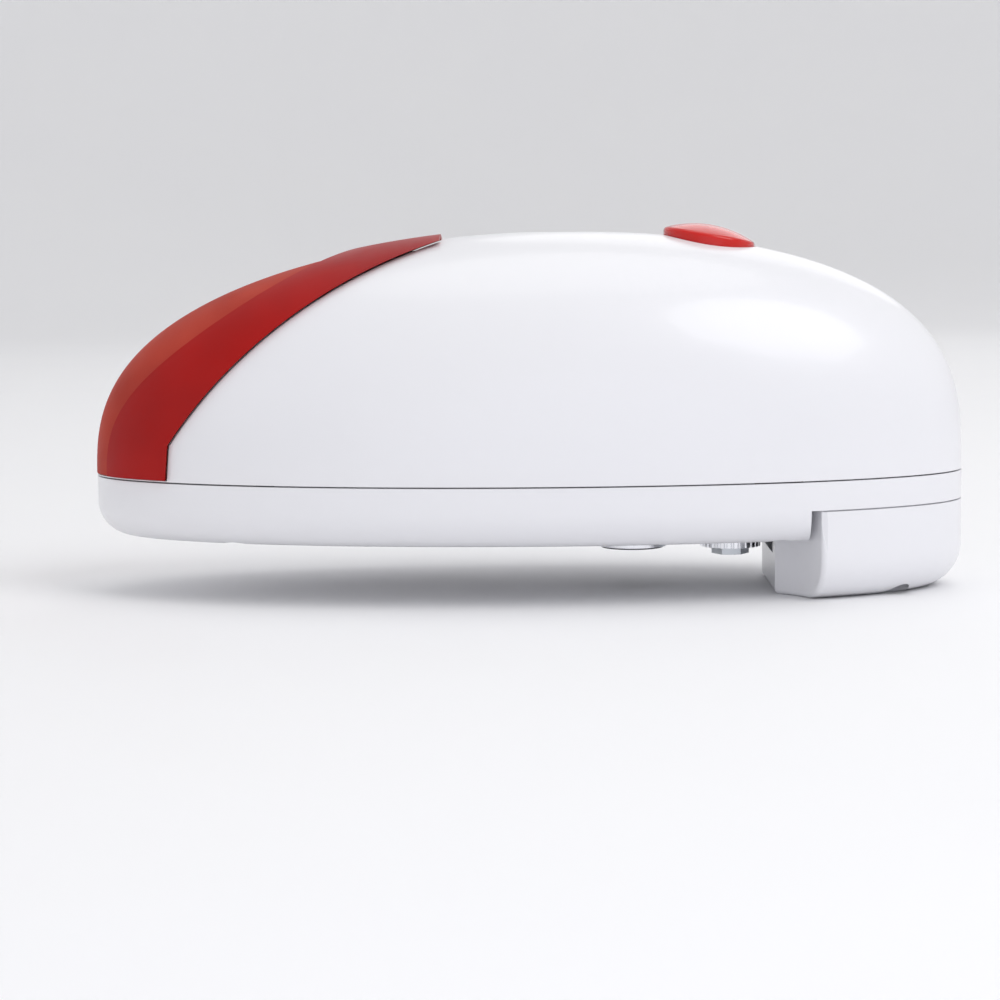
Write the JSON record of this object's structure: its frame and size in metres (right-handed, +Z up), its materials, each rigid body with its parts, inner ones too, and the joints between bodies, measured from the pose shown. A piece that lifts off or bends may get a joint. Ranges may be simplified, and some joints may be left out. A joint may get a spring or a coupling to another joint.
{
  "type": "electric can opener",
  "caption": "Hands-free battery electric can opener: a white dome with a red battery cover and a red button over a steel drive wheel and a cutter wheel in its foot.",
  "frame": {"origin": "the middle of the bounding box at the height of the foot's flat underside", "axes": "+X along the body to the cutter foot's end, +Y across it, +Z up"},
  "size_m": [0.1801, 0.075, 0.0754],
  "materials": {
    "white_shell": "glossy moulded",
    "red_cover": "glossy moulded, with a matt central panel",
    "red_button": "glossy moulded",
    "grey_plastic": "matt moulded",
    "black_plastic": "matt moulded",
    "gear_plastic": "matt moulded acetal",
    "board": "satin",
    "cell_sleeve": "plain dark sleeve over the can",
    "steel": "satin",
    "hard_steel": "ground and polished",
    "zinc": "zinc plated",
    "bronze": "sintered bronze",
    "nickel": "nickel plated",
    "magnet": "dark sintered"
  },
  "bodies": {
    "housing": {"upper_housing": "white_shell", "lower_housing": "white_shell", "cutter_housing": "white_shell", "battery_tray": "grey_plastic", "tray_screws": "zinc", "battery_cells": "cell_sleeve", "cell_springs": "nickel", "contact_plates": "nickel", "button_spring": "steel", "switch_body": "black_plastic", "circuit_board": "board", "board_standoffs": "grey_plastic", "gear_axles": "hard_steel", "gearbox_base_plate": "zinc", "gearbox_top_plate": "zinc", "gearbox_spacers": "zinc", "gearbox_screws": "zinc", "motor_end_cap": "black_plastic", "motor_can": "zinc", "motor_terminals": "nickel", "motor_magnets": "magnet", "motor_bracket": "zinc", "motor_screws": "zinc", "spindle_bushings": "bronze", "turret_bushing": "bronze", "turret_stop_pins": "steel", "magnet_cup": "zinc", "lid_magnet": "magnet", "rim_guide": "hard_steel", "housing_screws": "zinc", "foot_screws": "zinc"},
    "power_button": {"power_button": "red_button"},
    "switch_plunger": {"switch_plunger": "grey_plastic"},
    "battery_cover": {"battery_cover": "red_cover"},
    "motor_rotor": {"motor_shaft": "hard_steel", "motor_armature": "steel", "motor_pinion": "bronze"},
    "first_gear": {"first_gear": "gear_plastic"},
    "second_gear": {"second_gear": "gear_plastic"},
    "third_gear": {"third_gear": "gear_plastic"},
    "drive_spindle": {"drive_spindle": "hard_steel", "final_gear": "steel", "clutch_drive_gear": "steel", "drive_wheel": "hard_steel", "wheel_nut": "zinc"},
    "clutch_gear": {"clutch_gear": "steel"},
    "cutter_turret": {"cutter_turret": "zinc", "cutter_pin": "hard_steel", "clutch_washer": "steel", "clutch_clip": "steel"},
    "cutter_wheel": {"cutter_wheel": "hard_steel"}
  },
  "joints": [
    {"name": "button_press", "type": "slide", "parent": "housing", "child": "power_button", "axis": [0, 0, -1], "range_m": [0, 0.0015], "stiffness_N_per_m": 600, "springref_m": -0.003, "deforming": ["button_spring"]},
    {"name": "plunger_press", "type": "slide", "parent": "housing", "child": "switch_plunger", "axis": [0, 0, -1], "range_m": [0, 0.0015]},
    {"name": "cover_slide", "type": "slide", "parent": "housing", "child": "battery_cover", "axis": [-1, 0, 0], "range_m": [0, 0.08]},
    {"name": "motor_spin", "type": "hinge", "parent": "housing", "child": "motor_rotor", "pos_m": [-0.00697, 0.00765, 0.03], "axis": [0, 0, 1], "continuous": true},
    {"name": "first_gear_spin", "type": "hinge", "parent": "housing", "child": "first_gear", "pos_m": [0.00452, -0.00199, 0.03], "axis": [0, 0, 1], "continuous": true},
    {"name": "second_gear_spin", "type": "hinge", "parent": "housing", "child": "second_gear", "pos_m": [0.02149, -0.008, 0.03], "axis": [0, 0, 1], "continuous": true},
    {"name": "third_gear_spin", "type": "hinge", "parent": "housing", "child": "third_gear", "pos_m": [0.02149, 0.0116, 0.03], "axis": [0, 0, 1], "continuous": true},
    {"name": "spindle_spin", "type": "hinge", "parent": "housing", "child": "drive_spindle", "pos_m": [0.0425, 0, 0.03], "axis": [0, 0, 1], "continuous": true},
    {"name": "clutch_gear_spin", "type": "hinge", "parent": "housing", "child": "clutch_gear", "pos_m": [0.0625, 0, 0.03], "axis": [0, 0, 1], "continuous": true},
    {"name": "turret_turn", "type": "hinge", "parent": "housing", "child": "cutter_turret", "pos_m": [0.0625, 0, 0.02], "axis": [0, 0, 1], "range_deg": [0, 120]},
    {"name": "cutter_wheel_spin", "type": "hinge", "parent": "cutter_turret", "child": "cutter_wheel", "pos_m": [0.064, 0.0026, 0.01], "axis": [0, 0, 1], "continuous": true}
  ],
  "couplings": [
    {"joint": "plunger_press", "follows": "button_press", "ratio": 1},
    {"joint": "first_gear_spin", "follows": "motor_spin", "ratio": -0.2},
    {"joint": "second_gear_spin", "follows": "motor_spin", "ratio": 0.05},
    {"joint": "third_gear_spin", "follows": "motor_spin", "ratio": -0.013636},
    {"joint": "spindle_spin", "follows": "motor_spin", "ratio": 0.0045455},
    {"joint": "clutch_gear_spin", "follows": "motor_spin", "ratio": -0.0045455}
  ]
}
